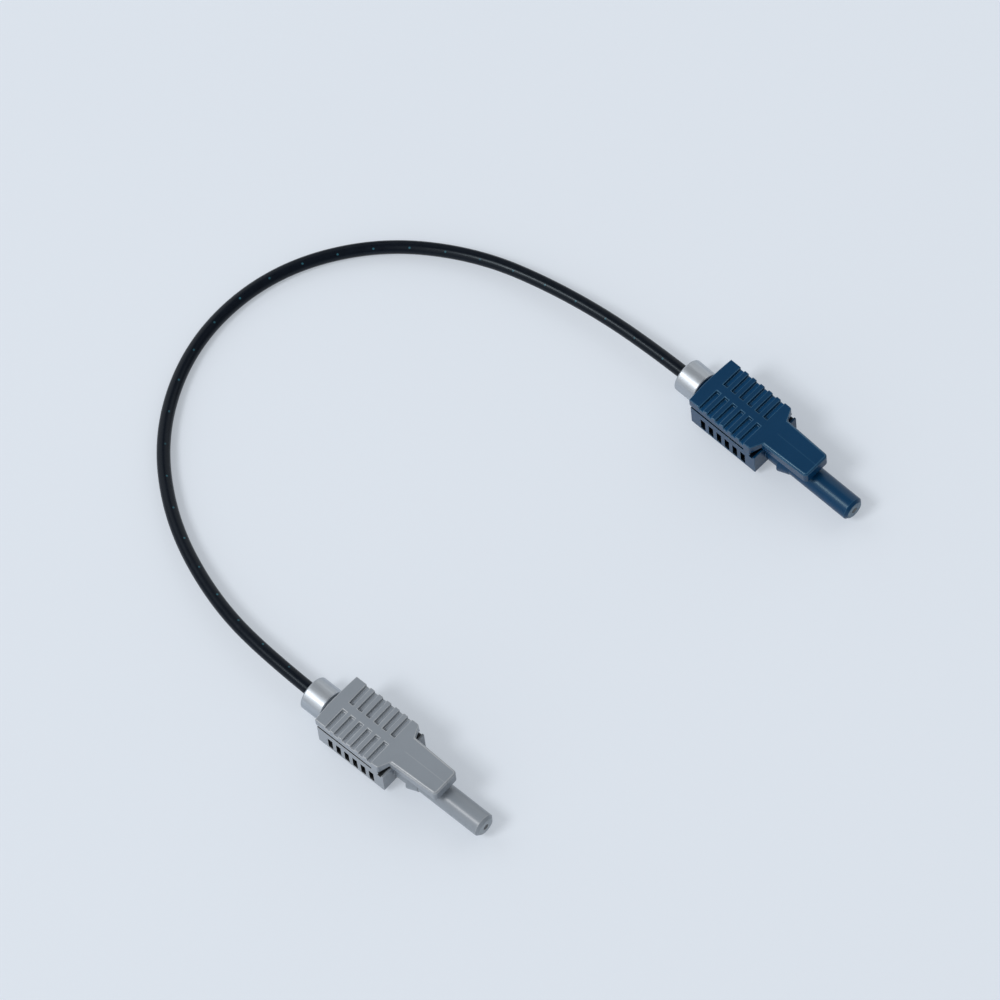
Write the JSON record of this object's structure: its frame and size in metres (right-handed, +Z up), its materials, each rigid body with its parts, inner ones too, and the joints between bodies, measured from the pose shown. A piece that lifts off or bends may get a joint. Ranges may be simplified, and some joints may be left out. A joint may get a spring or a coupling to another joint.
{
  "type": "simplex plastic optical fibre patch cord",
  "caption": "Simplex plastic optical fibre patch cord: a black jacketed fibre with a grey and a blue latching plug, each with a crimp ring and a springy release lever.",
  "frame": {"origin": "on the table, midway between the two connectors", "axes": "+X the way both connectors plug in, +Y from the grey connector to the blue one, +Z up"},
  "size_m": [0.1006, 0.0886, 0.0079],
  "materials": {
    "grey_plastic": "satin moulded",
    "blue_plastic": "satin moulded",
    "crimp_metal": "bright tumbled",
    "fibre_core": "polished end",
    "cord_jacket": "satin extruded"
  },
  "bodies": {
    "cord_set": {"grey_housing": "grey_plastic", "grey_crimp_ring": "crimp_metal", "grey_fibre_end": "fibre_core", "blue_housing": "blue_plastic", "blue_crimp_ring": "crimp_metal", "blue_fibre_end": "fibre_core", "fibre_cord": "cord_jacket"},
    "grey_lever": {"grey_lever": "grey_plastic"},
    "blue_lever": {"blue_lever": "blue_plastic"}
  },
  "joints": [
    {"name": "grey_lever_rock", "type": "hinge", "parent": "cord_set", "child": "grey_lever", "pos_m": [-0.0035, -0.03923, 0.0058], "axis": [0.0195, -0.9998, 0], "range_deg": [0, 2.4], "stiffness_Nm_per_rad": 0.5},
    {"name": "blue_lever_rock", "type": "hinge", "parent": "cord_set", "child": "blue_lever", "pos_m": [0.00274, 0.03923, 0.0058], "axis": [-0.0195, -0.9998, 0], "range_deg": [0, 2.4], "stiffness_Nm_per_rad": 0.5}
  ]
}
